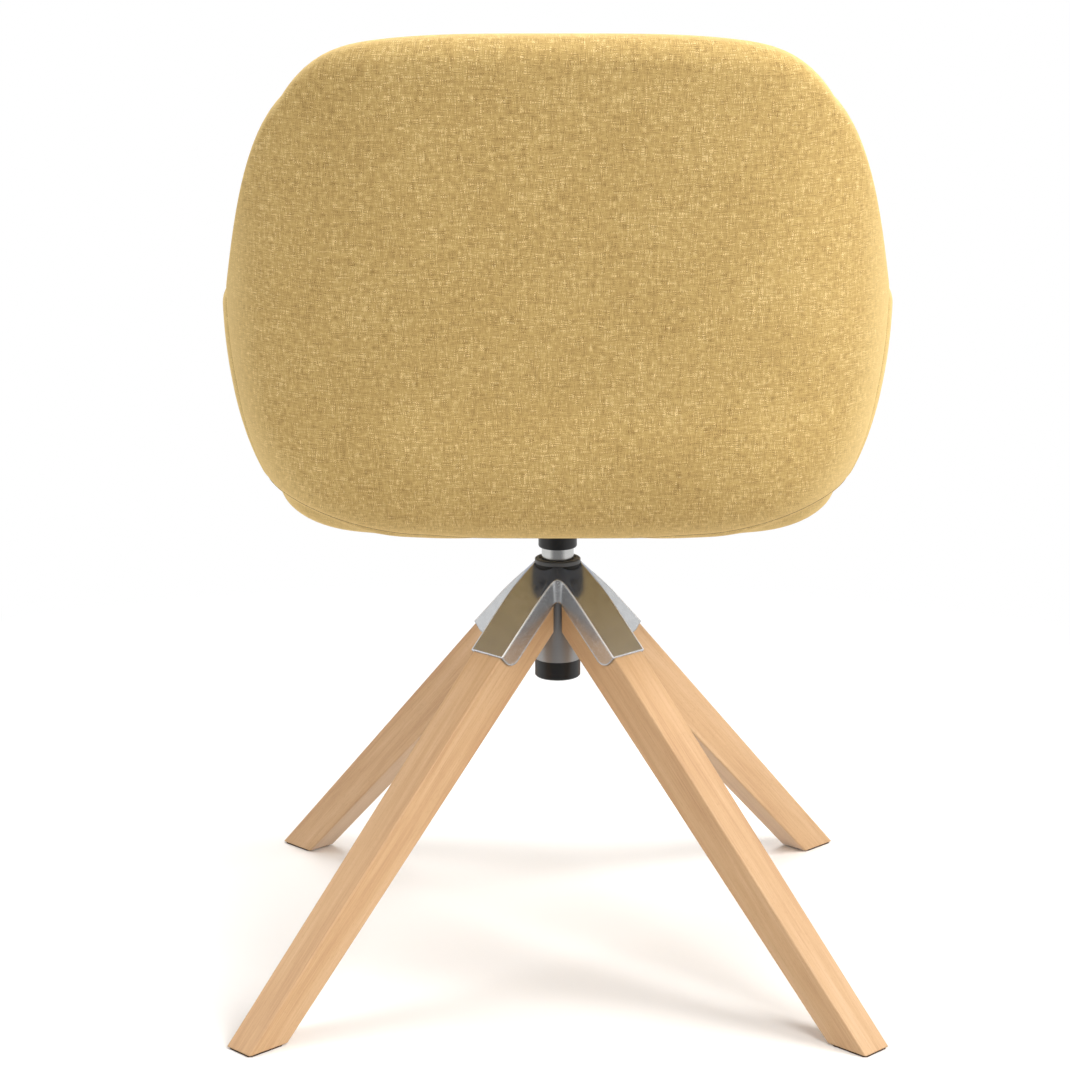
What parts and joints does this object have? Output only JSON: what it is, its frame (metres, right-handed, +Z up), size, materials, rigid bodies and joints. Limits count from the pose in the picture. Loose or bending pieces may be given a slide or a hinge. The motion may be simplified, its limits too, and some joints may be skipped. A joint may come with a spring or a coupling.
{
  "type": "swivel tub chair",
  "caption": "Upholstered tub chair whose padded shell swivels on a short column held by a cast hub over splayed square beech legs.",
  "frame": {"origin": "on the floor under the swivel axis", "axes": "+Z up along the swivel axis; the sitter faces -Y and the backrest is towards +Y; +X is to the left hand of a sitter"},
  "size_m": [0.5578, 0.5476, 0.817],
  "materials": {
    "beech": "clear matt lacquer",
    "polished_aluminium": "die cast, polished top plates and satin flanges",
    "chromed_steel": "bright",
    "plain_steel": "zinc plated",
    "black_steel": "black powder coat",
    "black_plastic": "fine grain",
    "brass_sheet": "stamped",
    "felt": "pressed wool felt",
    "plywood": "raw",
    "mustard_fabric": "woven upholstery fabric"
  },
  "bodies": {
    "base": {"leg_rear_left": "beech", "leg_rear_right": "beech", "leg_front_left": "beech", "leg_front_right": "beech", "hub_casting": "polished_aluminium", "column_tube": "plain_steel", "upper_bush": "black_plastic", "lower_bush": "black_plastic", "end_cap": "black_plastic", "lower_race": "plain_steel", "ball_cage": "brass_sheet", "bearing_balls": "chromed_steel", "leg_screws": "black_steel", "leg_washers": "plain_steel", "glide_rear_left": "felt", "glide_rear_right": "felt", "glide_front_left": "felt", "glide_front_right": "felt", "glide_screws": "plain_steel"},
    "seat": {"stem": "chromed_steel", "upper_race": "plain_steel", "retaining_washer": "plain_steel", "retaining_clip": "plain_steel", "collar": "black_plastic", "seat_spider": "black_steel", "spider_bolts": "black_steel", "spider_washers": "plain_steel", "tee_nuts": "plain_steel", "seat_board": "plywood", "shell_frame": "plywood", "back_cover": "mustard_fabric", "front_cover": "mustard_fabric", "pan_cover": "mustard_fabric", "underside_cover": "mustard_fabric", "inner_pad": "mustard_fabric", "seat_cushion": "mustard_fabric"}
  },
  "joints": [
    {"name": "seat_swivel", "type": "hinge", "parent": "base", "child": "seat", "pos_m": [0, 0, 0.347], "axis": [0, 0, 1], "continuous": true}
  ]
}
